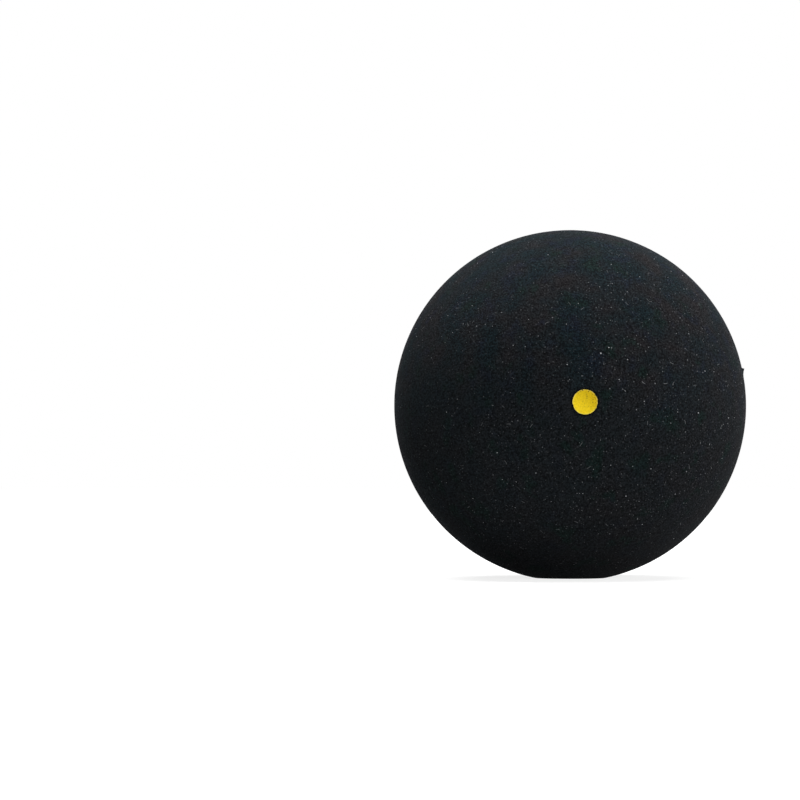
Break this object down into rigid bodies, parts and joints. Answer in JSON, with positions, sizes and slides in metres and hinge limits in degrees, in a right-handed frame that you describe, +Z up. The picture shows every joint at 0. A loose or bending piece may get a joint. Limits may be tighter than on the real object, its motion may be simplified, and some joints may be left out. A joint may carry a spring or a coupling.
{
  "type": "squash ball",
  "caption": "Hollow buffed black rubber squash ball: bonded half-shells with a sealed air cavity, a dished yellow speed dot on one pole and a pale ring print round the other.",
  "frame": {"origin": "centre of the ball", "axes": "+Z up, +Y along the ball's polar axis from the speed dot on the front pole to the ring print round the back pole; the bonded seam lies in the XZ plane"},
  "size_m": [0.04, 0.04, 0.04],
  "materials": {
    "buffed_rubber": "matt, finely buffed, with faint pale specks",
    "bond_adhesive": "satin",
    "dot_ink": "matt ink with fine pinholes",
    "print_ink": "matt ink with fine pinholes"
  },
  "bodies": {
    "root": {"front_half_shell": "buffed_rubber", "back_half_shell": "buffed_rubber", "seam_adhesive": "bond_adhesive", "speed_dot": "dot_ink", "ring_print": "print_ink"}
  },
  "joints": []
}
